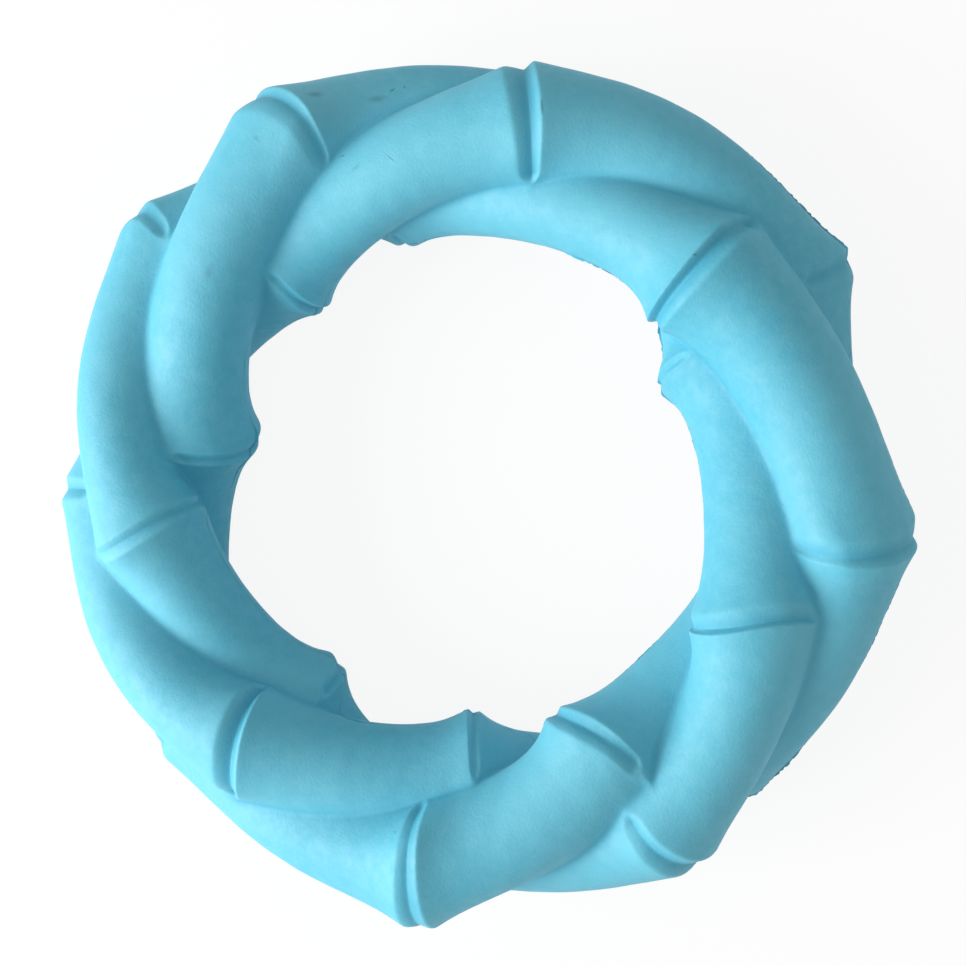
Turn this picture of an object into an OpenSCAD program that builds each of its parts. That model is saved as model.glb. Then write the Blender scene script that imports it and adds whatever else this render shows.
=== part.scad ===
// A ring of soft rubber for a dog to chew, moulded in the shape of one jointed bamboo cane.
// The cane goes three times round the ring, so every cross-section cuts it three times, and the
// three strands twist about each other. The ring is parted here at the moulded joints of the cane,
// so each node is one length of cane from joint to joint. The ring lies flat, top face up.

/* [Ring] */
// Distance across the ring, from the middle of the bundle to the middle of the bundle opposite
ring_d = 117; // [105:1:130]
// Height of the bundle as a share of its width
height_share = 0.98; // [0.85:0.01:1]
// Depth of the flats that the ring rests on, measured at its lowest joint
foot_cut = 1; // [0.7:0.1:1.5]

/* [Cane] */
// Thickness of the cane between two joints
cane_d = 17.2; // [15:0.1:18.5]
// Distance from the middle of the bundle to the middle of each strand
strand_offset = 6.8; // [6.4:0.1:7.6]
// Room between strands that lie side by side
strand_gap = 0.3; // [0.2:0.05:0.5]
// Most that a strand gives way to a swelling of the strand beside it
wall_give = 3.5; // [2:0.1:4]

/* [Joints] */
// How far the cane swells beyond its radius towards a joint
swell_h = 4.6; // [3:0.1:5.5]
// Distance over which the swelling dies away
swell_fade = 5.6; // [4:0.1:7]
// Depth of the groove that runs round each joint
groove_depth = 2; // [0.5:0.1:2.5]
// Distance from the middle of the groove to where its side levels off
groove_w = 1.2; // [0.8:0.1:2]
// Share of a swelling that is gone by the valley on the near side of the strand
near_loss = 0.3; // [0:0.05:0.5]

/* [Twist] */
// How often the strands pass over the top of the ring
passes = 7; // [5, 7, 8]
// Turn of the first strand about the bundle at the right-hand side of the ring
start_turn = 27.5; // [0:0.5:120]
// Place of the first joint along the cane
first_joint = -7; // [-20:0.5:20]
// Most that the twist runs ahead or behind in a wave that goes once round the ring
drift_once = 13; // [0:0.5:20]
// Where that wave is furthest ahead
drift_once_at = 262; // [0:1:360]
// Most that the twist runs ahead or behind in a wave that goes twice round the ring
drift_twice = 10; // [0:0.5:12]
// Where that wave is furthest ahead
drift_twice_at = 347; // [0:1:360]
// Most that the twist runs ahead or behind in a wave that goes three times round the ring
drift_thrice = 4; // [0:0.5:8]
// Where that wave is furthest ahead
drift_thrice_at = 350; // [0:1:360]
// Turn about the bundle that the lean shares below are shares of
lean = 10; // [0:1:12]
// Angle that the tip shares below are shares of
tip = 10; // [0:1:12]

/* [Hidden] */
// Each length of cane against the average length, from the first joint onwards
length_shares = [1.00, 1.40, 0.93, 0.97, 1.00, 0.80, 0.80, 0.74,
                 1.02, 1.10, 0.90, 1.24, 1.18, 1.00, 0.77, 1.02,
                 0.96, 0.99, 1.18, 1.20, 1.08, 0.95, 0.94, 0.83];
// Thickness of each length against the cane's thickness
waist_shares = [1.08, 0.92, 1.00, 0.99, 1.00, 0.84, 0.97, 0.98,
                1.04, 0.98, 0.88, 1.12, 1.00, 1.10, 1.08, 0.90,
                0.88, 1.04, 1.00, 1.04, 1.04, 1.05, 0.78, 1.02];
// Swelling at the joint that starts each length, against the full swelling
swell_shares = [1.25, 1.10, 0.95, 1.20, 1.10, 1.45, 1.20, 1.00,
                0.80, 1.10, 1.20, 1.35, 1.20, 1.40, 1.50, 1.25,
                1.20, 1.35, 0.80, 0.90, 0.95, 0.80, 1.15, 1.35];
// Share of that joint's swelling that is gone by the valley on the far side of the strand
far_loss = [0.80, 0.40, 0.50, 0.50, 0.80, 0.50, 0.50, 0.40,
            0.50, 0.50, 0.50, 0.80, 0.40, 0.50, 0.95, 0.45,
            0.50, 0.50, 0.55, 0.40, 0.50, 0.85, 0.50, 0.50];
// How far the joint that starts each length is turned about the bundle, against the full lean
lean_shares = [0.80, 0.95, -1.20, -0.20, 0.60, -0.45, 0.30, 0.50,
               -0.20, 0.20, 0.80, 0.45, 0.40, 0.55, 0.50, 0.20,
               -0.30, -0.85, 0.70, -0.50, -0.40, 0.50, 0.10, 0.80];
// How far the joint that starts each length is tipped from square to the cane, against the full tip
tip_shares = [-0.3, -0.7, 0.0, 1.6, 0.5, 1.4, -0.3, -0.1,
              1.3, 1.0, -0.4, 1.2, 0.9, -0.4, -1.3, 1.6,
              0.0, -0.5, 0.4, -1.0, -0.3, 0.8, -0.1, 0.5];

cane_blue = [0.45, 0.75, 0.83];
strands = 3;
lengths = len(length_shares);
whole_run = 360 * strands;
ring_r = ring_d / 2;
cane_r = cane_d / 2;
mm_per_degree = PI * ring_r / 180;
half_sector = 180 / strands;
// Angles from the strand's own direction between which a swelling dies away towards the valley
loss_from = 32;
loss_to = 66;

// Faces: how many parts the round side, each wall and the plain stretch of a length are cut in
arc_parts = 12;
wall_parts = 3;
plain_step = 3.5;
end_step_shares = [0, 0.35, 0.75, 1.25, 2, 3.2, 4.8];

// Angles along the cane count from the right-hand side of the ring, on through all three rounds
function sum_to(list, n) = n == 0 ? 0 : list[n - 1] + sum_to(list, n - 1);
shares_in_all = sum_to(length_shares, lengths);
joint_at = [for (i = [0:lengths]) first_joint + whole_run * sum_to(length_shares, i) / shares_in_all];
function on_cane(at) = at - whole_run * floor((at - first_joint) / whole_run);
function length_of(at) = max([for (i = [0:lengths - 1]) joint_at[i] <= at ? i : 0]);
function next(i) = (i + 1) % lengths;
function before(i) = (i + lengths - 1) % lengths;

// Radius of the cane at any place: its waist, the swelling towards both ends and the two grooves.
// The angle across counts from the strand's own direction and is above 0 on its far side. Part of each
// swelling is gone by the valleys on both sides.
function fade(x) = exp(-x / swell_fade);
function groove(x) = groove_depth * exp(-pow(x / groove_w, 2));
function joint_waist(i) = (waist_shares[before(i)] + waist_shares[i]) / 2;
function waist(i, x, y) = waist_shares[i]
    + (joint_waist(i) - waist_shares[i]) * fade(x)
    + (joint_waist(next(i)) - waist_shares[i]) * fade(y);
function smooth(f) = let (x = max(0, min(1, f))) x * x * (3 - 2 * x);
function beside(across) = smooth((abs(across) - loss_from) / (loss_to - loss_from));
function swelling(i, across) = swell_h * swell_shares[i]
    * (1 - beside(across) * (across > 0 ? far_loss[i] : near_loss));
function swollen(i, x, y, across) = cane_r * waist(i, x, y)
    + swelling(i, across) * fade(x) + swelling(next(i), across) * fade(y);
function rounded(x) = sqrt(x * x + groove_w * groove_w) - groove_w;
function radius_in(i, x, y, across) = swollen(i, x, y, across) - groove(x) - groove(y);
function radius(at, across) = let (spot = on_cane(at), i = length_of(spot))
    radius_in(i, (spot - joint_at[i]) * mm_per_degree, (joint_at[i + 1] - spot) * mm_per_degree, across);
function plain_radius(at, across) = let (spot = on_cane(at), i = length_of(spot))
    swollen(i, rounded((spot - joint_at[i]) * mm_per_degree),
        rounded((joint_at[i + 1] - spot) * mm_per_degree), across);

// Turn of the strand about the bundle at any place: an even twist, its slow drift and each lean
function drift(at) = drift_once * cos(at - drift_once_at)
    + drift_twice * cos(2 * (at - drift_twice_at))
    + drift_thrice * cos(3 * (at - drift_thrice_at));
function eased(from, to, f) = from + (to - from) * (1 - cos(180 * f)) / 2;
function spread(shares, at) = let (spot = on_cane(at), i = length_of(spot))
    eased(shares[i], shares[next(i)], (spot - joint_at[i]) / (joint_at[i + 1] - joint_at[i]));
function lean_at(at) = lean * spread(lean_shares, at);
function turn(at) = start_turn + at * passes / strands + drift(at) + lean_at(at);

// Slope of the strand against the ring, and what a cross-section of the cane is tipped by altogether
function slope(at) = atan(strand_offset * (passes / strands) / (ring_r + strand_offset * cos(turn(at))));
function section_tip(at) = slope(at) + tip * spread(tip_shares, at);
function tipped(at, y) = at - asin(y * sin(section_tip(at)) / ring_r);

// The wall between two strands lies half-way between them, where their round sides would cross, so it
// gives way to a swelling. A strand's neighbours are the same cane one round further on and one back.
valley_r = strand_offset * cos(half_sector)
    + sqrt(pow(cane_r, 2) - pow(strand_offset * sin(half_sector), 2));
mean_slope = atan(strand_offset * (passes / strands) / ring_r);
function wall_tip(place) = asin(valley_r * sin(half_sector)
    * sin(mean_slope + tip * spread(tip_shares, place)) / ring_r);
function wall_angle(place, side) = half_sector + side * (lean_at(place + side * 360) - lean_at(place)) / 2;
function crossing(own_r, next_r, angle) = (own_r * own_r - next_r * next_r)
    / (4 * strand_offset * sin(angle));
function wall_shift(place, side) = let (
    there = place + side * 360,
    free = crossing(plain_radius(place + side * wall_tip(place), side * half_sector),
        plain_radius(there - side * wall_tip(there), -side * half_sector), wall_angle(place, side)))
    max(-wall_give, min(wall_give, free)) - strand_gap / 2;

// Cross-section of the cane: x runs out from the middle of the bundle, y runs along the turn.
// The pointed end lies where the wall at angle u, moved out by a, meets the wall at angle v, moved by b.
function pointed_end(a, u, b, v) = [-(a * cos(v) + b * cos(u)), a * sin(v) - b * sin(u)] / sin(u + v);
function pointed_end_at(at) = pointed_end(wall_shift(at, 1), wall_angle(at, 1),
    wall_shift(at, -1), wall_angle(at, -1));
function reach(u, a, r) = let (x = strand_offset * cos(u), y = strand_offset * sin(u) + a)
    x + sqrt(r * r - y * y);
function wall_point(place, side, out) = let (u = wall_angle(place, side), a = wall_shift(place, side))
    [out * cos(u) - a * sin(u), side * (out * sin(u) + a * cos(u))];
function wall_edge(place, side, r) = wall_point(place, side,
    reach(wall_angle(place, side), wall_shift(place, side), r));
function wall(at, side, p, r) = let (
    rough = wall_edge(at - side * wall_tip(at), side, r),
    edge = wall_edge(tipped(at, rough.y), side, r),
    first = p * [cos(half_sector), side * sin(half_sector)],
    last = edge * [cos(half_sector), side * sin(half_sector)])
    [for (k = [1:wall_parts]) let (share = k / wall_parts)
        k == wall_parts ? edge
            : wall_point(tipped(at, p.y + (edge.y - p.y) * share), side, first + (last - first) * share)];
function angle_of(p) = atan2(p.y, p.x - strand_offset);
function across_of(a, r) = atan2(r * sin(a), strand_offset + r * cos(a));
function arc(at, from, to) = [for (k = [1:arc_parts - 1])
    let (a = from + (to - from) * k / arc_parts, r = radius(at, across_of(a, radius(at, 0))))
    [strand_offset + r * cos(a), r * sin(a)]];
function left(list) = [for (k = [len(list) - 1:-1:0]) list[k]];
function outline(at) = let (
    p = pointed_end_at(at),
    near = wall(at, -1, p, radius(at, -half_sector)),
    far = wall(at, 1, p, radius(at, half_sector)))
    concat([p], near, arc(at, angle_of(near[wall_parts - 1]), angle_of(far[wall_parts - 1])), left(far));

// A point of a cross-section, set on the ring
function round_ring(at, way, out) = [(ring_r + out * cos(way)) * cos(at),
    (ring_r + out * cos(way)) * sin(at), height_share * out * sin(way)];
function set_point(at, p) = let (
    place = tipped(at, p.y),
    way = turn(place) + atan2(p.y, p.x))
    round_ring(place, way, norm(p));

// Places of the cross-sections of one length: close together at its joints, even in between
function end_steps(i) = [for (s = end_step_shares) s * groove_w / mm_per_degree];
function plain_steps(from, to) = let (n = ceil((to - from) * mm_per_degree / plain_step))
    [for (k = [1:n - 1]) from + (to - from) * k / n];
function places(i) = let (
    first = [for (s = end_steps(i)) joint_at[i] + s],
    last = left([for (s = end_steps(i)) joint_at[i + 1] - s]))
    concat(first, plain_steps(first[len(first) - 1], last[0]), last);

around = arc_parts + 2 * wall_parts;
function rings(i) = [for (at = places(i)) [for (p = outline(at)) set_point(at, p)]];

// The ring is centred on its outside, and stands on flats cut in its lowest joints
all_rings = [for (i = [0:lengths - 1]) each rings(i)];
all_points = [for (ring = all_rings) each ring];
lowest = min([for (p = all_points) p.z]) + foot_cut;
middle_x = (min([for (p = all_points) p.x]) + max([for (p = all_points) p.x])) / 2;
middle_y = (min([for (p = all_points) p.y]) + max([for (p = all_points) p.y])) / 2;
function stand(p) = [p.x - middle_x, p.y - middle_y, max(p.z, lowest) - lowest];

// One length of cane: rings of points joined by triangles, and a fan of triangles over each end
function side_faces(n) = [for (k = [0:n - 2], j = [0:around - 1])
    let (a = k * around + j, b = k * around + (j + 1) % around)
    each [[a, b, a + around], [b, b + around, a + around]]];
function end_fan(hub, from) = [for (j = [0:around - 1]) [hub, from + (j + 1) % around, from + j]];
function end_fan_back(hub, from) = [for (j = [0:around - 1]) [hub, from + j, from + (j + 1) % around]];

module cane_length(i) {
    ring_list = rings(i);
    n = len(ring_list);
    hubs = [for (at = [joint_at[i], joint_at[i + 1]]) set_point(at, [strand_offset, 0])];
    points = [for (p = concat([for (ring = ring_list) each ring], hubs)) stand(p)];
    polyhedron(points, concat(side_faces(n), end_fan(n * around, 0),
        end_fan_back(n * around + 1, (n - 1) * around)));
}

module cane_length_01() { color(cane_blue) cane_length(0); }
module cane_length_02() { color(cane_blue) cane_length(1); }
module cane_length_03() { color(cane_blue) cane_length(2); }
module cane_length_04() { color(cane_blue) cane_length(3); }
module cane_length_05() { color(cane_blue) cane_length(4); }
module cane_length_06() { color(cane_blue) cane_length(5); }
module cane_length_07() { color(cane_blue) cane_length(6); }
module cane_length_08() { color(cane_blue) cane_length(7); }
module cane_length_09() { color(cane_blue) cane_length(8); }
module cane_length_10() { color(cane_blue) cane_length(9); }
module cane_length_11() { color(cane_blue) cane_length(10); }
module cane_length_12() { color(cane_blue) cane_length(11); }
module cane_length_13() { color(cane_blue) cane_length(12); }
module cane_length_14() { color(cane_blue) cane_length(13); }
module cane_length_15() { color(cane_blue) cane_length(14); }
module cane_length_16() { color(cane_blue) cane_length(15); }
module cane_length_17() { color(cane_blue) cane_length(16); }
module cane_length_18() { color(cane_blue) cane_length(17); }
module cane_length_19() { color(cane_blue) cane_length(18); }
module cane_length_20() { color(cane_blue) cane_length(19); }
module cane_length_21() { color(cane_blue) cane_length(20); }
module cane_length_22() { color(cane_blue) cane_length(21); }
module cane_length_23() { color(cane_blue) cane_length(22); }
module cane_length_24() { color(cane_blue) cane_length(23); }

cane_length_01();
cane_length_02();
cane_length_03();
cane_length_04();
cane_length_05();
cane_length_06();
cane_length_07();
cane_length_08();
cane_length_09();
cane_length_10();
cane_length_11();
cane_length_12();
cane_length_13();
cane_length_14();
cane_length_15();
cane_length_16();
cane_length_17();
cane_length_18();
cane_length_19();
cane_length_20();
cane_length_21();
cane_length_22();
cane_length_23();
cane_length_24();
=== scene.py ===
"""A chew ring of soft blue rubber, moulded as one bamboo cane that goes three times round the ring.

Each length of the cane, from joint to joint, is a skin of its own that stands for the CAD node of its
name. Angles are radians. A place along the cane counts from the right-hand side of the ring on through
all three rounds; "way" is the direction from the middle of the bundle, 0 outwards and a quarter turn up.
"""
import math

import bpy
import numpy as np
from bpy.props import FloatProperty, FloatVectorProperty, IntProperty, PointerProperty
from mathutils import Matrix, Vector


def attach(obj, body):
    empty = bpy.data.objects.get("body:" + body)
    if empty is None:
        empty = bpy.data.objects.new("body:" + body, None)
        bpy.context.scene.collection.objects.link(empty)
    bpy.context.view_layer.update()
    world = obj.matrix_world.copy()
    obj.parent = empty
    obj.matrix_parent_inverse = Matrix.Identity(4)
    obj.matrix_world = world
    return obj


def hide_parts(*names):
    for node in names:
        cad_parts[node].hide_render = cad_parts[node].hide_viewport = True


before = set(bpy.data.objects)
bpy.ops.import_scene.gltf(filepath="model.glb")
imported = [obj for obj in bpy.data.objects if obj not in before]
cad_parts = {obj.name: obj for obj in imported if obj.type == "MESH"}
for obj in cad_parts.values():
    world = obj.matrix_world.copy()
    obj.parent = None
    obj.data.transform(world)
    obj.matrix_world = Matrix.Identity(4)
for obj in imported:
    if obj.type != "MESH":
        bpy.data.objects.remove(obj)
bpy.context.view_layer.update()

bl_info = {
    "name": "Bamboo chew ring",
    "version": (1, 0, 0),
    "blender": (4, 5, 0),
    "location": "View3D > Sidebar > Chew ring",
    "description": "Skins the lengths of a moulded bamboo ring in matt blue rubber and sets its stage",
    "category": "Object",
}

MM = 0.001
BODY = "root"
ROUND = 2 * math.pi
STRANDS = 3
WHOLE_RUN = ROUND * STRANDS

# Each length of cane against the average length, from the first joint onwards
LENGTH_SHARES = np.array([
    1.00, 1.40, 0.93, 0.97, 1.00, 0.80, 0.80, 0.74, 1.02, 1.10, 0.90, 1.24,
    1.18, 1.00, 0.77, 1.02, 0.96, 0.99, 1.18, 1.20, 1.08, 0.95, 0.94, 0.83])
# Thickness of each length against the cane's thickness
WAIST_SHARES = np.array([
    1.08, 0.92, 1.00, 0.99, 1.00, 0.84, 0.97, 0.98, 1.04, 0.98, 0.88, 1.12,
    1.00, 1.10, 1.08, 0.90, 0.88, 1.04, 1.00, 1.04, 1.04, 1.05, 0.78, 1.02])
# Swelling at the joint that starts each length, against the full swelling
SWELL_SHARES = np.array([
    1.25, 1.10, 0.95, 1.20, 1.10, 1.45, 1.20, 1.00, 0.80, 1.10, 1.20, 1.35,
    1.20, 1.40, 1.50, 1.25, 1.20, 1.35, 0.80, 0.90, 0.95, 0.80, 1.15, 1.35])
# How far the joint that starts each length is turned about the bundle, against the full lean
LEAN_SHARES = np.array([
    0.80, 0.95, -1.20, -0.20, 0.60, -0.45, 0.30, 0.50, -0.20, 0.20, 0.80, 0.45,
    0.40, 0.55, 0.50, 0.20, -0.30, -0.85, 0.70, -0.50, -0.40, 0.50, 0.10, 0.80])
# How far the joint that starts each length is tipped from square to the cane, against the full tip
TIP_SHARES = np.array([
    -0.3, -0.7, 0.0, 1.6, 0.5, 1.4, -0.3, -0.1, 1.3, 1.0, -0.4, 1.2,
    0.9, -0.4, -1.3, 1.6, 0.0, -0.5, 0.4, -1.0, -0.3, 0.8, -0.1, 0.5])
# Share of a joint's swelling that is gone by the valley on its far side, and on its near side
FAR_LOSS = np.array([
    0.80, 0.40, 0.50, 0.50, 0.80, 0.50, 0.50, 0.40, 0.50, 0.50, 0.50, 0.80,
    0.40, 0.50, 0.95, 0.45, 0.50, 0.50, 0.55, 0.40, 0.50, 0.85, 0.50, 0.50])
NEAR_LOSS = 0.3
# Which lip of the groove is broad and round: the one after the joint (up to 1) or before it (to -1).
# A lip share of 1 makes that lip, and the swelling's rounding there, broader by LIP_BREADTH.
LIP_BREADTH = 0.8
LIP_SHARES = np.array([
    0.50, -0.40, 0, 0, 0.10, 0, 0.20, -0.10, 0.70, 0, -0.30, 0.50,
    0, 0.30, -0.10, -0.15, 0.30, -0.30, 0.35, 0.05, 0, -0.50, 0.20, -0.30])
# Depth of each joint's groove against the full depth
GROOVE_SHARES = np.array([
    0.90, 1.20, 1.00, 0.85, 0.75, 1.00, 1.00, 1.00, 0.80, 0.60, 1.00, 1.00,
    0.80, 1.00, 1.10, 1.05, 1.00, 0.90, 1.15, 0.80, 0.90, 1.30, 0.60, 1.00])
# Where torn flash stands out along the mould's parting line: azimuth and half width in degrees, and how
# far it stands out in millimetres, round the hole and round the outside
HOLE_FLASH = (
    (35, 4, 0.45), (25, 5, 0.6), (99, 4, 0.8), (45, 3, 0.3), (56, 6, 0.45), (128, 4, 0.35),
    (168, 4, 0.6), (176, 3, 0.4), (196, 3, 0.15), (226, 3, 0.3), (238, 5, 0.7), (246, 3, 0.4),
    (272, 4, 0.35), (294, 4, 0.4), (318, 6, 0.2), (345, 8, 0.25), (10, 5, 0.2))
OUTSIDE_FLASH = (
    (0, 4, 0.1), (31, 3, 0.4), (37, 4, 0.35), (44, 5, 0.25), (70, 8, 0.1), (104, 7, 0.15),
    (120, 4, 0.2), (143, 3, 0.4), (159, 4, 0.3), (184, 4, 0.4), (219, 4, 0.6), (250, 8, 0.1),
    (304, 3, 0.25), (313, 2, 0.5), (319, 4, 0.55), (343, 6, 0.2))
# Faint marks on the upper side: x and y in millimetres from the middle of the ring's outside, direction
# in degrees, half length and half width in millimetres, and strength
MARKS = (
    (-38.5, 39, 60, 2.4, 1.2, 0.35), (-10, 67.5, 10, 2.2, 0.9, 0.45), (-12.5, 55.5, 30, 1.5, 0.7, 0.3),
    (19.7, 62.5, 95, 2.0, 0.35, 0.8), (-19.5, 68, 0, 2.0, 0.9, 0.5), (-7.7, 69, 35, 0.7, 0.25, 0.9),
    (-5.8, 69.5, 80, 0.5, 0.25, 0.9), (-6.2, 56.5, -40, 2.3, 0.14, 0.8), (-15.5, 57.9, 10, 0.7, 0.2, 0.9),
    (43.5, 38.2, 0, 0.5, 0.25, 0.9), (-28.8, 60.7, -35, 1.3, 0.6, 0.3))
LENGTHS = len(LENGTH_SHARES)
NODE_NAMES = [f"cane_length_{i + 1:02d}" for i in range(LENGTHS)]


def size(name, description, default, high=1.0):
    """A length in metres."""
    return FloatProperty(name=name, description=description, default=default, min=0, max=high,
                         unit="LENGTH", precision=5)


def angle(name, description, degrees):
    """An angle, stated in degrees and kept in radians."""
    return FloatProperty(name=name, description=description, default=math.radians(degrees),
                         subtype="ANGLE", unit="ROTATION")


def share(name, description, default):
    """A plain number from 0 to 1."""
    return FloatProperty(name=name, description=description, default=default, min=0, max=1)


def colour(name, description, default):
    """A colour in scene-linear red, green and blue."""
    return FloatVectorProperty(name=name, description=description, default=default, min=0, max=1,
                               size=3, subtype="COLOR")


class CaneSizes(bpy.types.PropertyGroup):
    """The cane and its twist, as the CAD source has them, and the finer sizes of its skin"""
    ring_r: size("Ring radius", "Middle of the ring to the middle of the bundle", 58.5 * MM)
    height_share: share("Height share", "Height of the bundle against its width", 0.98)
    cane_r: size("Cane radius", "Radius of the cane between two joints", 8.6 * MM)
    strand_offset: size("Strand offset", "Middle of the bundle to the middle of a strand", 6.8 * MM)
    centre: FloatVectorProperty(
        name="Ring centre", description="Middle of the ring, above the face that it rests on",
        default=(-0.0126 * MM, 1.7045 * MM, 16.5142 * MM), size=3, subtype="XYZ", unit="LENGTH")
    swell_h: size("Swelling", "How far the cane swells towards a joint", 4.6 * MM)
    swell_fade: size("Swelling fade", "Distance over which the swelling dies away", 5.6 * MM)
    crest_round: size("Crest rounding", "How far the swelling is rounded over at the joint", 0.8 * MM)
    groove_depth: size("Groove depth", "Depth of the groove at the crest of a joint", 1.75 * MM)
    groove_half: size("Groove half width", "Middle of the groove to its lip", 1.6 * MM)
    groove_round: size("Groove rounding", "Rounding at the bottom of the groove", 0.3 * MM)
    lip_round: share("Lip rounding", "Rounding of the groove's lips, against its depth", 0.2)
    fillet: size("Fillet", "Softness of the valley between two strands", 0.75 * MM)
    wave_h: size("Unevenness", "Height of the slight waves that hand work left in the mould", 0.03 * MM)
    flash_thick: size("Flash thickness", "Thickness of the flash along the parting line", 0.3 * MM)
    flash_root: size("Flash root", "How deep the foot of the flash lies under the skin", 0.4 * MM)
    passes: IntProperty(name="Passes", description="How often a strand crosses the top", default=7)
    start_turn: angle("Start turn", "Turn of the first strand at the right-hand side", 27.5)
    first_joint: angle("First joint", "Place of the first joint along the cane", -7)
    drift_once: angle("Drift once", "Drift of the twist in a wave once round the ring", 13)
    drift_once_at: angle("Drift once at", "Where that wave is furthest ahead", 262)
    drift_twice: angle("Drift twice", "Drift of the twist in a wave twice round the ring", 10)
    drift_twice_at: angle("Drift twice at", "Where that wave is furthest ahead", 347)
    drift_thrice: angle("Drift thrice", "Drift in a wave three times round the ring", 4)
    drift_thrice_at: angle("Drift thrice at", "Where that wave is furthest ahead", 350)
    lean: angle("Lean", "Turn that the lean shares are shares of", 10)
    tip: angle("Tip", "Angle that the tip shares are shares of", 10)


class RubberLook(bpy.types.PropertyGroup):
    """Colours and gloss of the rubber, with painted shade for its valleys, grooves and flash"""
    body: colour("Body", "Colour of the rubber", (0.082, 0.455, 0.607))
    bloom: colour("Bloom", "Paler, chalky bloom on the rubber", (0.15, 0.53, 0.665))
    # Painted shade: a darker colour laid into the valleys between strands and the bottoms of the grooves,
    # where shade falls; it is not a colour of the rubber itself.
    deep: colour("Deep", "Colour deep in the valleys and grooves", (0.035, 0.345, 0.50))
    soil: colour("Soil", "Faint grey soiling", (0.14, 0.29, 0.31))
    mark: colour("Mark", "Specks, smudges and scratches", (0.045, 0.15, 0.19))
    # Painted shade: a dark colour laid in patches over the flash, standing in for the shade on the thin
    # torn edge; the flash itself is the rubber's own blue.
    flash: colour("Flash", "Soiled edge of the flash", (0.05, 0.15, 0.17))
    roughness: share("Roughness", "Roughness of the rubber", 0.64)


class StageSettings(bpy.types.PropertyGroup):
    """Camera, lights and floor"""
    camera_distance: size("Camera distance", "Camera to the middle of the ring", 241.2 * MM)
    camera_tilt_y: angle("Tilt to the right", "How far the camera stands to the right", 15.006)
    camera_tilt_x: angle("Tilt to the top", "How far the camera stands towards the top", 3.002)
    camera_lens: FloatProperty(name="Focal length", description="For a sensor 36 mm wide",
                               default=51.36, unit="CAMERA")
    shift_x: FloatProperty(name="Shift X", description="Share of the frame's width", default=0.0305)
    shift_y: FloatProperty(name="Shift Y", description="Share of the frame's width", default=0.0036)
    floor_w: size("Floor", "Width of the floor", 6.0, high=20)
    floor_drop: size("Floor drop", "How far the floor lies under the ring's flats", 0.02 * MM)
    floor: colour("Floor", "Colour of the floor and of the background", (0.86, 0.86, 0.86))
    floor_white: share("Floor white", "How far the camera sees the floor as pure white", 0.9)
    key: FloatProperty(name="Key light", description="Strength of the soft light", default=10.0,
                       unit="POWER")
    key_w: size("Key light width", "Width of the soft light", 0.6)
    key_at: FloatVectorProperty(name="Key light place", description="From the middle of the ring",
                                default=(-0.70, -0.22, 0.42), size=3, subtype="XYZ", unit="LENGTH")
    world: share("World", "Strength of the even light all round", 0.46)


def wrapped(turned):
    """The same direction as an angle from minus half a round to half a round."""
    return np.mod(turned + math.pi, ROUND) - math.pi


def eased(share_across):
    """Rises from 0 to 1 as a smooth step: 3x squared less 2x cubed, level outside 0 to 1."""
    x = np.clip(share_across, 0, 1)
    return x * x * (3 - 2 * x)


def smoothed(values, over):
    """Values round a closed line, smoothed by a bell curve that is that many steps wide to each side."""
    count = len(values)
    away = np.minimum(np.arange(count), count - np.arange(count)) / over
    bell = np.exp(-away * away / 2)
    return np.fft.irfft(np.fft.rfft(values) * np.fft.rfft(bell / bell.sum()), count)


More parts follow.
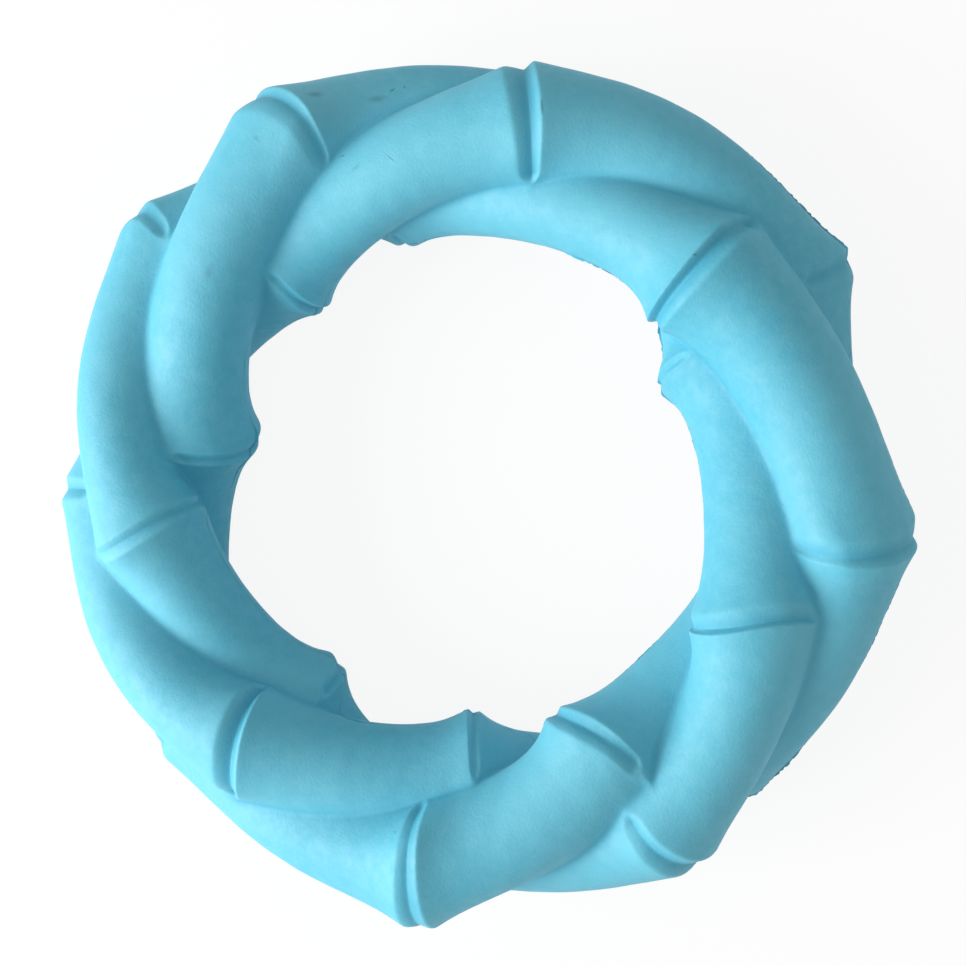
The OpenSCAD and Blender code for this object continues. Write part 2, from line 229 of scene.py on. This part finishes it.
class Skin:
    """The outside of the whole ring as one height over the middle of the bundle.

    Each strand is a round cane whose middle lies strand_offset from the middle of the bundle. Seen from
    there, its side lies at offset cos a + root(radius squared - (offset sin a) squared), where a is the
    angle from the strand's own direction. The skin is the soft maximum of the three strands.
    """

    def __init__(self, sizes):
        self.sizes = sizes
        ends = np.cumsum(LENGTH_SHARES) / LENGTH_SHARES.sum()
        self.joint_at = sizes.first_joint + WHOLE_RUN * np.concatenate([[0], ends])
        self.joint_waist = (np.roll(WAIST_SHARES, 1) + WAIST_SHARES) / 2
        self.loss_from, self.loss_to = math.radians(32), math.radians(66)
        self.valley_at, self.valley_from_turn = self.find_valleys()

    def length_of(self, at):
        """Place within one run of the cane, and the number of the length that it lies in."""
        spot = self.joint_at[0] + np.mod(at - self.joint_at[0], WHOLE_RUN)
        number = np.searchsorted(self.joint_at, spot, side="right") - 1
        return spot, np.clip(number, 0, LENGTHS - 1)

    def from_joints(self, at):
        """Number of the length, number of the joint after it, and the distances from its two joints."""
        spot, i = self.length_of(at)
        x = (spot - self.joint_at[i]) * self.sizes.ring_r
        y = (self.joint_at[i + 1] - spot) * self.sizes.ring_r
        return i, (i + 1) % LENGTHS, x, y

    def spread(self, shares, at):
        """A share of each joint, carried to the next joint by half a cosine wave."""
        spot, i = self.length_of(at)
        f = (spot - self.joint_at[i]) / (self.joint_at[i + 1] - self.joint_at[i])
        return shares[i] + (shares[(i + 1) % LENGTHS] - shares[i]) * (1 - np.cos(math.pi * f)) / 2

    def turn(self, at):
        """Direction of the strand: an even twist, three slow waves of drift, and each joint's lean."""
        s = self.sizes
        drift = (s.drift_once * np.cos(at - s.drift_once_at)
                 + s.drift_twice * np.cos(2 * (at - s.drift_twice_at))
                 + s.drift_thrice * np.cos(3 * (at - s.drift_thrice_at)))
        return s.start_turn + at * s.passes / STRANDS + drift + s.lean * self.spread(LEAN_SHARES, at)

    def section_tip(self, at):
        """Slope of the strand against the ring, and the tip of its joints on top of that."""
        s = self.sizes
        rise = s.strand_offset * s.passes / STRANDS
        slope = np.arctan(rise / (s.ring_r + s.strand_offset * np.cos(self.turn(at))))
        return slope + s.tip * self.spread(TIP_SHARES, at)

    def flare(self, x, lip):
        """Swelling at x from a joint: it dies away as exp(-x / fade), rounded over at the joint."""
        s = self.sizes
        own_round = s.crest_round * (1 + LIP_BREADTH * lip)
        return np.exp(-(np.hypot(x, own_round) - own_round + s.crest_round) / s.swell_fade)

    def groove(self, x, ends, i, lip):
        """A V across joint i, rounded at its bottom and lips, and narrower where it is shallower; ends,
        from 1 to 0, closes it and narrows it to 0.4 of its width."""
        s = self.sizes
        narrowed = np.minimum(GROOVE_SHARES[i], 1) * (0.4 + 0.6 * ends)
        half = s.groove_half * narrowed * (1 + LIP_BREADTH * lip)
        depth = 1 - (np.hypot(x, s.groove_round) - s.groove_round) / half
        return GROOVE_SHARES[i] * ends * (depth + np.hypot(depth, s.lip_round)) / 2

    def groove_share(self, at, across):
        """How deep the grooves of both joints are there, against the full depth. A groove gets shallower
        by 0.3 times its share of the way to the valley, squared, and closes just before the valley."""
        i, after, x, y = self.from_joints(at)
        edge = np.where(across > 0, self.valley(at, 1), -self.valley(at, -1))
        along_groove = np.abs(across) / edge
        shallower, closes_from, closes_over = 0.3, 0.84, 0.2
        ends = ((1 - shallower * along_groove ** 2)
                * (1 - eased((along_groove - closes_from) / closes_over)))
        return self.groove(x, ends, i, LIP_SHARES[i]) + self.groove(y, ends, after, -LIP_SHARES[after])

    def radius(self, at, across, grooved=True):
        """Radius of the cane: its waist, the swelling from both ends, less the grooves there."""
        s = self.sizes
        i, after, x, y = self.from_joints(at)
        near, far = np.exp(-x / s.swell_fade), np.exp(-y / s.swell_fade)
        waist = (WAIST_SHARES[i] + (self.joint_waist[i] - WAIST_SHARES[i]) * near
                 + (self.joint_waist[after] - WAIST_SHARES[i]) * far)
        far_side = across > 0
        beside = eased((np.abs(across) - self.loss_from) / (self.loss_to - self.loss_from))
        kept = 1 - beside * np.where(far_side, FAR_LOSS[i], NEAR_LOSS)
        kept_after = 1 - beside * np.where(far_side, FAR_LOSS[after], NEAR_LOSS)
        lip, lip_after = LIP_SHARES[i], -LIP_SHARES[after]
        r = s.cane_r * waist + s.swell_h * (kept * SWELL_SHARES[i] * self.flare(x, lip)
                                            + kept_after * SWELL_SHARES[after] * self.flare(y, lip_after))
        return r - s.groove_depth * self.groove_share(at, across) if grooved else r

    def side_of(self, r, across):
        """From the middle of the bundle to the side of a strand of that radius, by the formula above."""
        offset = self.sizes.strand_offset
        beside = offset * np.sin(across)
        return offset * np.cos(across) + np.sqrt(np.maximum(r * r - beside * beside, MM * MM))

    def set_back(self, at, out, across):
        """How far back round the ring the tip of a section carries a point of it: the angle whose sine is
        out times sine of across times sine of the tip, over the ring's radius."""
        lift = out * np.sin(across) * np.sin(self.section_tip(at))
        return np.arcsin(np.clip(lift / self.sizes.ring_r, -1, 1))

    def strand(self, azimuth, way, lap, grooved=True):
        """Height of one strand's side, and the place along the cane of the section it belongs to."""
        at = azimuth + lap * ROUND
        across = wrapped(way - self.turn(at))
        place = at
        for _ in range(3):
            out = self.side_of(self.radius(place, across, grooved), across)
            place = at + self.set_back(place, out, across)
        return out, place

    def height(self, azimuth, way):
        """Soft maximum of the three strands, and how near the two highest are to each other."""
        outs = np.sort([self.strand(azimuth, way, lap)[0] for lap in range(STRANDS)], axis=0)
        top = outs[-1]
        soft = self.sizes.fillet
        blended = top + soft * np.log(np.exp((outs - top) / soft).sum(axis=0))
        return blended + self.unevenness(azimuth, way), top - outs[-2]

    def unevenness(self, azimuth, way):
        """Slight waves: half the sum of four products, each a sine round the ring times one round the
        bundle."""
        waves = (np.sin(23 * azimuth + 1) * np.sin(3 * way + 2)
                 + np.sin(37 * azimuth + 4) * np.sin(4 * way)
                 + np.sin(53 * azimuth + 2) * np.sin(7 * way + 1)
                 + np.sin(71 * azimuth) * np.sin(5 * way + 3))
        return self.sizes.wave_h * waves / 2

    def find_valleys(self):
        """Angle from each strand's own direction to where it crosses the strand a round further on.

        It is found by halving the stretch that it lies in, and smoothed along the cane by a bell curve.
        """
        count, halvings, smooth_over = 8640, 24, 6.0
        at = np.arange(count) * WHOLE_RUN / count
        turn = self.turn(at)
        low, high = np.full(count, 0.5), np.full(count, 1.6)
        for _ in range(halvings):
            middle = (low + high) / 2
            own, _ = self.strand(at, turn + middle, 0, grooved=False)
            other, _ = self.strand(at, turn + middle, 1, grooved=False)
            above = own > other
            low, high = np.where(above, middle, low), np.where(above, high, middle)
        return at, smoothed(low, smooth_over)

    def valley(self, at, side):
        """Angle from the strand's own direction to the valley on that side of it."""
        if side > 0:
            return np.interp(at, self.valley_at, self.valley_from_turn, period=WHOLE_RUN)
        before = at - ROUND
        there = self.turn(before) + np.interp(before, self.valley_at, self.valley_from_turn,
                                              period=WHOLE_RUN)
        return wrapped(there - self.turn(at))

    def on_section(self, at, across_share, own_height=None):
        """Azimuth and way of a point across the section at `at`; 0 is one valley and 1 the other."""
        azimuth = at + 0 * across_share
        for _ in range(8):
            low, high = self.valley(azimuth, -1), self.valley(azimuth, 1)
            across = low + across_share * (high - low)
            out = self.side_of(self.radius(at, across), across) if own_height is None else own_height
            azimuth = at - self.set_back(at, out, across)
        return azimuth, self.turn(azimuth) + across

    def point(self, azimuth, way, out):
        """Round the bundle and round the ring, then cut level where the ring rests."""
        s = self.sizes
        reach = s.ring_r + out * np.cos(way)
        centre = np.array(s.centre)
        x = reach * np.cos(azimuth) + centre[0]
        y = reach * np.sin(azimuth) + centre[1]
        z = s.height_share * out * np.sin(way) + centre[2]
        return np.stack([x, y, np.maximum(z, 0)], axis=-1)


def closed_tube(name, points, hubs, values):
    """Rows of points joined into quads all round, and a fan of triangles from a hub over each end.

    values holds a number for every point under each attribute's name.
    """
    rows, around = points.shape[:2]
    number = np.arange(rows * around).reshape(rows, around)
    beside = np.roll(number, -1, axis=1)
    quads = np.stack([number[:-1], number[1:], beside[1:], beside[:-1]], axis=-1).reshape(-1, 4)
    first_hub, last_hub = rows * around, rows * around + 1
    first = np.stack([np.full(around, first_hub), number[0], beside[0]], axis=-1)
    last = np.stack([np.full(around, last_hub), beside[-1], number[-1]], axis=-1)
    corners = np.concatenate([quads.ravel(), first.ravel(), last.ravel()])
    sizes = np.concatenate([np.full(len(quads), 4), np.full(2 * around, 3)])
    starts = np.concatenate([[0], np.cumsum(sizes)[:-1]])
    mesh = bpy.data.meshes.new(name)
    mesh.vertices.add(rows * around + 2)
    places = np.concatenate([points.reshape(-1, 3), hubs]).astype(np.float32)
    mesh.vertices.foreach_set("co", places.ravel())
    mesh.loops.add(len(corners))
    mesh.loops.foreach_set("vertex_index", corners.astype(np.int32))
    mesh.polygons.add(len(sizes))
    mesh.polygons.foreach_set("loop_start", starts.astype(np.int32))
    mesh.update(calc_edges=True)
    mesh.shade_smooth()
    for key, numbers in values.items():
        layer = mesh.attributes.new(key, "FLOAT", "POINT")
        layer.data.foreach_set("value", np.concatenate([numbers.ravel(), [0, 0]]).astype(np.float32))
    ends = np.empty(2 * len(mesh.edges), np.int32)
    mesh.edges.foreach_get("vertices", ends)
    row = ends.reshape(-1, 2) // around
    rim = (row[:, 0] == row[:, 1]) & ((row[:, 0] == 0) | (row[:, 0] == rows - 1))
    sharp = mesh.attributes.get("sharp_edge") or mesh.attributes.new("sharp_edge", "BOOLEAN", "EDGE")
    sharp.data.foreach_set("value", rim)
    mesh.validate()
    return mesh


def add_piece(name, mesh, material):
    """An object at the origin with that mesh and finish, riding on the ring's one body."""
    mesh.materials.append(material)
    piece = bpy.data.objects.new(name, mesh)
    bpy.context.scene.collection.objects.link(piece)
    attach(piece, BODY)
    return piece


def rows_along(skin, i):
    """Places of the rows of one length: close together at its joints, wider in between."""
    start, end = skin.joint_at[i], skin.joint_at[i + 1]
    length = (end - start) * skin.sizes.ring_r
    fine, wide, fine_to, blend = 0.14 * MM, 0.5 * MM, 1.5 * MM, 4 * MM
    even = np.linspace(0, length, 2000)
    nearest = np.minimum(even, length - even)
    spacing = fine + (wide - fine) * eased((nearest - fine_to) / blend)
    steps = np.concatenate([[0], np.cumsum(1 / spacing[1:])])
    count = int(np.ceil(steps[-1] * (even[1] - even[0])))
    return np.interp(np.linspace(0, steps[-1], count + 1), steps, start + even / skin.sizes.ring_r)


def columns_across():
    """Shares across a strand from valley to valley, closer together near the valleys: a mix of even
    steps and half a cosine wave."""
    columns, bunching = 85, 0.55
    even = np.linspace(0, 1, columns)
    return (1 - bunching) * even + bunching * (1 - np.cos(math.pi * even)) / 2


def length_mesh(skin, i):
    """One length of cane: its outer side from valley to valley, tucked a little under its neighbours,
    and two plain walls that run in to a spine by the middle of the bundle."""
    at = rows_along(skin, i)[:, None]
    tuck_share, tuck_depth, wall_inset = 0.012, 0.07 * MM, 0.006
    past = np.array([1.0, 0.66, 0.33])
    shares = np.concatenate([-tuck_share * past, columns_across(), 1 + tuck_share * past[::-1]])[None, :]
    azimuth, way = skin.on_section(at, shares)
    out, gap = skin.height(azimuth, way)
    beyond = np.maximum(np.maximum(-shares, shares - 1), 0) / tuck_share
    sides = skin.point(azimuth, way, out - tuck_depth * beyond ** 2)

    def wall(edge, share_across, height_shares):
        """Points between the edge of the outer side and the spine."""
        heights = out[:, [edge]] * np.array(height_shares)
        azimuths, ways = skin.on_section(at, share_across + 0 * heights, heights)
        return skin.point(azimuths, ways, heights)

    spine_h = 0.35 * MM + 0 * at
    spine_azimuth, spine_way = skin.on_section(at, 0.5 + 0 * at, spine_h)
    spine = skin.point(spine_azimuth, spine_way, spine_h)
    low_wall = wall(0, wall_inset, [0.3, 0.6, 0.93])
    high_wall = wall(-1, 1 - wall_inset, [0.93, 0.6, 0.3])
    points = np.concatenate([spine, low_wall, sides, high_wall], axis=1)
    outer = slice(4, 4 + sides.shape[1])
    # The valley_gap and groove numbers carried by the mesh steer the painted shade in rubber_colour.
    gaps, grooves = np.zeros(points.shape[:2]), np.zeros(points.shape[:2])
    gaps[:, outer] = gap / MM
    grooves[:, outer] = skin.groove_share(at, wrapped(way - skin.turn(azimuth)))
    hub_at = at[[0, -1]]
    hub_h = skin.sizes.strand_offset + 0 * hub_at
    hub_azimuth, hub_way = skin.on_section(hub_at, 0.5 + 0 * hub_at, hub_h)
    hubs = skin.point(hub_azimuth, hub_way, hub_h)[:, 0]
    return closed_tube(NODE_NAMES[i], points, hubs, {"valley_gap": gaps, "groove": grooves})


def torn_edge(azimuth, places, seed):
    """How far the flash stands out: a bump for each place, e to the minus distance squared, made ragged
    by seeded noise in lumps of two sizes and fine teeth, and under the skin where the noise is low."""
    random = np.random.default_rng(seed)
    count = len(azimuth)
    ragged = np.zeros(count)
    for lumps in (count // 90, count // 300):
        knots = random.random(lumps * 3)
        knots_at = np.linspace(0, ROUND, len(knots) + 1)
        ragged += 0.5 * np.interp(azimuth, knots_at, np.append(knots, knots[0]))
    tooth_share, tooth_steps, lowest = 0.25, 3, 0.02 * MM
    teeth = random.random(count // tooth_steps)
    ragged = ragged * (1 - tooth_share) + tooth_share * np.repeat(teeth, tooth_steps)[:count]
    stands = lowest + 0 * azimuth
    for middle, half_width, height in places:
        away = wrapped(azimuth - math.radians(middle)) / math.radians(half_width)
        stands = stands + height * MM * np.exp(-away ** 2)
    return stands * (ragged * 2 - 0.4)


def parting_line(skin, azimuth, middle_way):
    """Way of the ring's widest place, seen from above, where the halves of the mould meet.

    It is the mean of all ways near middle_way, each weighted by e to its reach over soft, and smoothed
    round the ring by a bell curve.
    """
    soft, smooth_over = 0.4 * MM, math.radians(1.5)
    near = middle_way + np.radians(np.arange(-50, 51, 1.5))[None, :]
    outs, _ = skin.height(azimuth, near)
    reach = outs * np.cos(near) * math.cos(middle_way)
    weight = np.exp((reach - reach.max(axis=1, keepdims=True)) / soft)
    widest = (weight * near).sum(axis=1) / weight.sum(axis=1)
    return smoothed(widest, smooth_over * len(azimuth) / ROUND)[:, None]


def flash_mesh(skin, name, middle_way, places, count, seed):
    """A thin ragged fin along the parting line, wedge-shaped across and rooted under the skin."""
    azimuth = np.arange(count)[:, None] * ROUND / count
    way = parting_line(skin, azimuth, middle_way)
    skin_h, _ = skin.height(azimuth, way)
    stands = torn_edge(azimuth[:, 0], places, seed)[:, None]
    across = skin.sizes.flash_thick / 2 * np.array([[-1.6, -0.8, -0.15, 0.15, 0.8, 1.6]])
    shoulder = np.minimum(0.02 * MM, stands - 0.03 * MM)
    root = -skin.sizes.flash_root + 0 * stands
    out = skin_h + np.concatenate([root, shoulder, stands, stands, shoulder, root], axis=1)
    points = skin.point(azimuth, way + across / out, out)
    around = points.shape[1]
    number = np.arange(count * around).reshape(count, around)
    ahead, beside = np.roll(number, -1, axis=0), np.roll(number, -1, axis=1)
    quads = np.stack([number, ahead, np.roll(ahead, -1, axis=1), beside], axis=-1).reshape(-1, 4)
    mesh = bpy.data.meshes.new(name)
    mesh.from_pydata(points.reshape(-1, 3), [], quads)
    mesh.validate()
    return mesh


def add_node(tree, kind, inputs=None, **settings):
    """A shader node with its settings, and its inputs set or linked."""
    node = tree.nodes.new(kind)
    for key, value in settings.items():
        setattr(node, key, value)
    for key, value in (inputs or {}).items():
        if isinstance(value, bpy.types.NodeSocket):
            tree.links.new(value, node.inputs[key])
        else:
            node.inputs[key].default_value = value
    return node


def worked(tree, operation, one, other):
    """The number that a Math node makes of two others."""
    return add_node(tree, "ShaderNodeMath", {0: one, 1: other}, operation=operation).outputs[0]


class Finish:
    """A material, with short ways to add nodes to it. Its patterns lie on the object itself."""

    def __init__(self, name):
        self.material = bpy.data.materials.new(name)
        self.material.use_nodes = True
        self.tree = self.material.node_tree
        self.shader = self.tree.nodes["Principled BSDF"]
        self.place = add_node(self.tree, "ShaderNodeTexCoord").outputs["Object"]

    def noise(self, scale, detail, rough=0.5):
        """Noise over the object, scale in lumps a metre."""
        return add_node(self.tree, "ShaderNodeTexNoise", {
            "Vector": self.place, "Scale": scale, "Detail": detail, "Roughness": rough}).outputs["Fac"]

    def ranged(self, value, low, high, to_low=0.0, to_high=1.0, ends="SMOOTHSTEP"):
        """Carries low..high to to_low..to_high, with soft ends unless told otherwise."""
        return add_node(self.tree, "ShaderNodeMapRange", {
            "Value": value, "From Min": low, "From Max": high, "To Min": to_low, "To Max": to_high},
            interpolation_type=ends).outputs["Result"]

    def mixed(self, factor, one, other):
        """One colour mixed with another; the node's sockets 6 and 7 and its output 2 are the colours."""
        node = add_node(self.tree, "ShaderNodeMix", {"Factor": factor}, data_type="RGBA")
        for socket, value in ((node.inputs[6], one), (node.inputs[7], other)):
            if isinstance(value, bpy.types.NodeSocket):
                self.tree.links.new(value, socket)
            else:
                socket.default_value = (*value, 1)
        return node.outputs[2]

    def carried(self, attribute):
        """A number that the mesh carries at each point."""
        return add_node(self.tree, "ShaderNodeAttribute", attribute_name=attribute).outputs["Fac"]

    def set(self, socket, value):
        """Links an output to one of the shader's sockets."""
        self.tree.links.new(value, self.shader.inputs[socket])


def rubber_colour(finish, look):
    """Bloom in large and in small patches, painted shade darkening the valleys and grooves, and faint
    soiling.
    """
    base = finish.mixed(finish.ranged(finish.noise(28, 3), 0.35, 0.7, 0.0, 0.55), look.body, look.bloom)
    base = finish.mixed(finish.ranged(finish.noise(420, 5, 0.78), 0.36, 0.66, 0.0, 0.45), base, look.bloom)
    # Painted shade: darker towards the valleys, where two strands come close, as shade in the crease
    # between them.
    base = finish.mixed(finish.ranged(finish.carried("valley_gap"), 2.6, 0, 0.0, 0.45), base, look.deep)
    # Painted shade: darker deep in the grooves at the joints, as shade in the recess.
    base = finish.mixed(finish.ranged(finish.carried("groove"), 0.15, 1.0, 0.0, 0.6), base, look.deep)
    return finish.mixed(finish.ranged(finish.noise(60, 4, 0.6), 0.66, 0.82, 0.0, 0.35), base, look.soil)


def mark_share(finish, x, y, degrees, half_length, half_width, strength):
    """An elongated smudge: 1 less the distance from its middle in half lengths and half widths."""
    turned = add_node(finish.tree, "ShaderNodeMapping", {
        "Vector": finish.place, "Location": (x * MM, y * MM, 0), "Rotation": (0, 0, math.radians(degrees)),
        "Scale": (half_length * MM, half_width * MM, 1)}, vector_type="TEXTURE").outputs["Vector"]
    away = add_node(finish.tree, "ShaderNodeVectorMath", {0: turned}, operation="LENGTH").outputs["Value"]
    return finish.ranged(away, 1, 0, 0.0, strength)


def dirt_share(finish):
    """Round specks in a fifth of the cells of a Voronoi pattern, and the marks, on the upper side only."""
    tree = finish.tree
    cells = add_node(tree, "ShaderNodeTexVoronoi", {"Vector": finish.place, "Scale": 150.0}).outputs
    chosen = add_node(tree, "ShaderNodeSeparateColor", {"Color": cells["Color"]}).outputs["Red"]
    speck_radius = finish.ranged(chosen, 0.8, 1.0, 0.0, 0.055)
    speck = worked(tree, "LESS_THAN", cells["Distance"], speck_radius)
    dirt = worked(tree, "MULTIPLY", speck, 0.45)
    for numbers in MARKS:
        dirt = worked(tree, "MAXIMUM", dirt, mark_share(finish, *numbers))
    above = add_node(tree, "ShaderNodeSeparateXYZ", {"Vector": finish.place}).outputs["Z"]
    dirt = worked(tree, "MULTIPLY", dirt, finish.ranged(above, 16 * MM, 22 * MM))
    patchy = finish.ranged(finish.noise(900, 3, 0.6), 0.3, 0.55, 0.35, 1.0)
    return worked(tree, "MULTIPLY", dirt, patchy)


def rubber_relief(finish):
    """Surface direction with a fine grain and slight lumps."""
    grain = add_node(finish.tree, "ShaderNodeBump", {
        "Height": finish.noise(1900, 3, 0.7), "Strength": 0.7, "Distance": 0.1 * MM})
    lumps = add_node(finish.tree, "ShaderNodeBump", {
        "Height": finish.noise(160, 2), "Strength": 0.25, "Distance": 0.5 * MM,
        "Normal": grain.outputs["Normal"]})
    return lumps.outputs["Normal"]


def rubber_material(look):
    """Matt blue rubber with a chalky bloom, a fine grain and a few marks."""
    finish = Finish("blue rubber")
    finish.set("Base Color", finish.mixed(dirt_share(finish), rubber_colour(finish, look), look.mark))
    finish.set("Roughness", finish.ranged(
        finish.noise(500, 2), 0.3, 0.7, look.roughness - 0.05, look.roughness + 0.05))
    finish.set("Normal", rubber_relief(finish))
    finish.shader.inputs["IOR"].default_value = 1.5
    finish.shader.inputs["Specular IOR Level"].default_value = 0.65
    return finish.material


def flash_material(look):
    """The same rubber, thin along the torn edge, darkened in patches by painted shade."""
    finish = Finish("torn flash")
    # Painted shade: noise patches darken the flash up to 0.7 of the way to the flash colour.
    flash_shade_share = finish.ranged(finish.noise(220, 3), 0.4, 0.7, 0.0, 0.7, ends="LINEAR")
    finish.set("Base Color", finish.mixed(flash_shade_share, look.body, look.flash))
    finish.shader.inputs["Roughness"].default_value = 0.7
    finish.shader.inputs["IOR"].default_value = 1.5
    return finish.material


class CHEWRING_OT_cane_lengths(bpy.types.Operator):
    """Make the skins of all the lengths of cane, each in place of its CAD node"""
    bl_idname = "chewring.cane_lengths"
    bl_label = "Lengths of cane"

    def execute(self, context):
        skin = Skin(context.scene.cane_sizes)
        material = rubber_material(context.scene.rubber_look)
        for i, name in enumerate(NODE_NAMES):
            piece = add_piece(f"skin_{name}", length_mesh(skin, i), material)
            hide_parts(name)
        return {"FINISHED"}


class CHEWRING_OT_flash(bpy.types.Operator):
    """Make the torn flash along the parting line, round the hole and round the outside"""
    bl_idname = "chewring.flash"
    bl_label = "Parting line flash"

    def execute(self, context):
        skin = Skin(context.scene.cane_sizes)
        material = flash_material(context.scene.rubber_look)
        for name, way, places, count, seed in (("flash_round_hole", math.pi, HOLE_FLASH, 1500, 11),
                                               ("flash_round_outside", 0.0, OUTSIDE_FLASH, 2700, 23)):
            add_piece(name, flash_mesh(skin, name, way, places, count, seed), material)
        return {"FINISHED"}


def aim(thing, target):
    """Turns a lamp or camera at a point."""
    thing.rotation_euler = (target - thing.location).to_track_quat("-Z", "Y").to_euler()


def add_lamp(name, place, target, power, width):
    """A square soft light at a place, aimed at the ring."""
    lamp = bpy.data.lights.new(name, "AREA")
    lamp.energy, lamp.size = power, width
    thing = bpy.data.objects.new(name, lamp)
    thing.location = place
    bpy.context.scene.collection.objects.link(thing)
    aim(thing, target)


def seen_share(tree):
    """1 for rays from the camera, from a mirror or through glass, and 0 for those that carry light."""
    path = add_node(tree, "ShaderNodeLightPath").outputs
    seen = worked(tree, "MAXIMUM", path["Is Camera Ray"], path["Is Glossy Ray"])
    return worked(tree, "MAXIMUM", seen, path["Is Transmission Ray"])


def floor_material(stage):
    """Plain pale floor that the camera sees nearly white, with the ring's shadow kept."""
    material = bpy.data.materials.new("pale floor")
    material.use_nodes = True
    tree = material.node_tree
    tree.nodes.clear()
    share_white = worked(tree, "MULTIPLY", seen_share(tree), stage.floor_white)
    plain = add_node(tree, "ShaderNodeBsdfDiffuse", {"Color": (*stage.floor, 1)})
    white = add_node(tree, "ShaderNodeEmission", {"Color": (1, 1, 1, 1), "Strength": 1.0})
    both = add_node(tree, "ShaderNodeMixShader", {
        0: share_white, 1: plain.outputs[0], 2: white.outputs[0]})
    output = add_node(tree, "ShaderNodeOutputMaterial")
    tree.links.new(both.outputs[0], output.inputs["Surface"])
    return material


class CHEWRING_OT_stage(bpy.types.Operator):
    """Set the camera, the soft light, the pale floor and the background"""
    bl_idname = "chewring.stage"
    bl_label = "Stage"

    def execute(self, context):
        scene, stage = context.scene, context.scene.stage_settings
        centre = Vector(scene.cane_sizes.centre)
        self.add_camera(scene, stage, centre)
        self.add_floor(scene, stage)
        add_lamp("key light", centre + Vector(stage.key_at), centre, stage.key, stage.key_w)
        self.add_world(scene, stage)
        scene.view_settings.view_transform = "Standard"
        return {"FINISHED"}

    def add_camera(self, scene, stage, centre):
        """Stands the camera off the middle of the ring, tilted to the right and to the top."""
        ty, tx = -stage.camera_tilt_y, stage.camera_tilt_x
        data = bpy.data.cameras.new("camera")
        data.lens = stage.camera_lens
        data.shift_x, data.shift_y = stage.shift_x, stage.shift_y
        data.clip_start = 0.01
        camera = bpy.data.objects.new("camera", data)
        basis = Matrix.Rotation(tx, 4, "X").transposed() @ Matrix.Rotation(ty, 4, "Y").transposed()
        camera.matrix_world = Matrix.Translation(centre) @ basis @ \
            Matrix.Translation((0, 0, stage.camera_distance))
        scene.collection.objects.link(camera)
        scene.camera = camera

    def add_floor(self, scene, stage):
        """Lays a square pale floor just under the ring."""
        half, low = stage.floor_w / 2, -stage.floor_drop
        mesh = bpy.data.meshes.new("floor")
        mesh.from_pydata([(-half, -half, low), (half, -half, low), (half, half, low), (-half, half, low)],
                         [], [(0, 1, 2, 3)])
        mesh.materials.append(floor_material(stage))
        floor = bpy.data.objects.new("floor", mesh)
        scene.collection.objects.link(floor)

    def add_world(self, scene, stage):
        """Even light all round, white where it is seen."""
        world = bpy.data.worlds.new("studio")
        world.use_nodes = True
        tree = world.node_tree
        strength = add_node(tree, "ShaderNodeMapRange", {
            "Value": seen_share(tree), "To Min": stage.world, "To Max": 1.0}).outputs["Result"]
        background = tree.nodes["Background"]
        background.inputs["Color"].default_value = (1, 1, 1, 1)
        tree.links.new(strength, background.inputs["Strength"])
        scene.world = world


class CHEWRING_PT_panel(bpy.types.Panel):
    """Lists the steps that dress the ring"""
    bl_label = "Chew ring"
    bl_idname = "CHEWRING_PT_panel"
    bl_space_type = "VIEW_3D"
    bl_region_type = "UI"
    bl_category = "Chew ring"

    def draw(self, context):
        for operator in OPERATORS:
            self.layout.operator(operator.bl_idname)


OPERATORS = (CHEWRING_OT_stage, CHEWRING_OT_cane_lengths, CHEWRING_OT_flash)
CLASSES = (CaneSizes, RubberLook, StageSettings, *OPERATORS, CHEWRING_PT_panel)


def register():
    """Registers the classes and hangs the settings on the scene."""
    for cls in CLASSES:
        bpy.utils.register_class(cls)
    bpy.types.Scene.cane_sizes = PointerProperty(type=CaneSizes)
    bpy.types.Scene.rubber_look = PointerProperty(type=RubberLook)
    bpy.types.Scene.stage_settings = PointerProperty(type=StageSettings)


def unregister():
    """Takes the settings and the classes away again."""
    del bpy.types.Scene.stage_settings, bpy.types.Scene.rubber_look, bpy.types.Scene.cane_sizes
    for cls in reversed(CLASSES):
        bpy.utils.unregister_class(cls)


def main():
    """Runs every step in order."""
    register()
    bpy.ops.chewring.stage()
    bpy.ops.chewring.cane_lengths()
    bpy.ops.chewring.flash()
    bpy.context.view_layer.update()


if __name__ == "__main__":
    main()
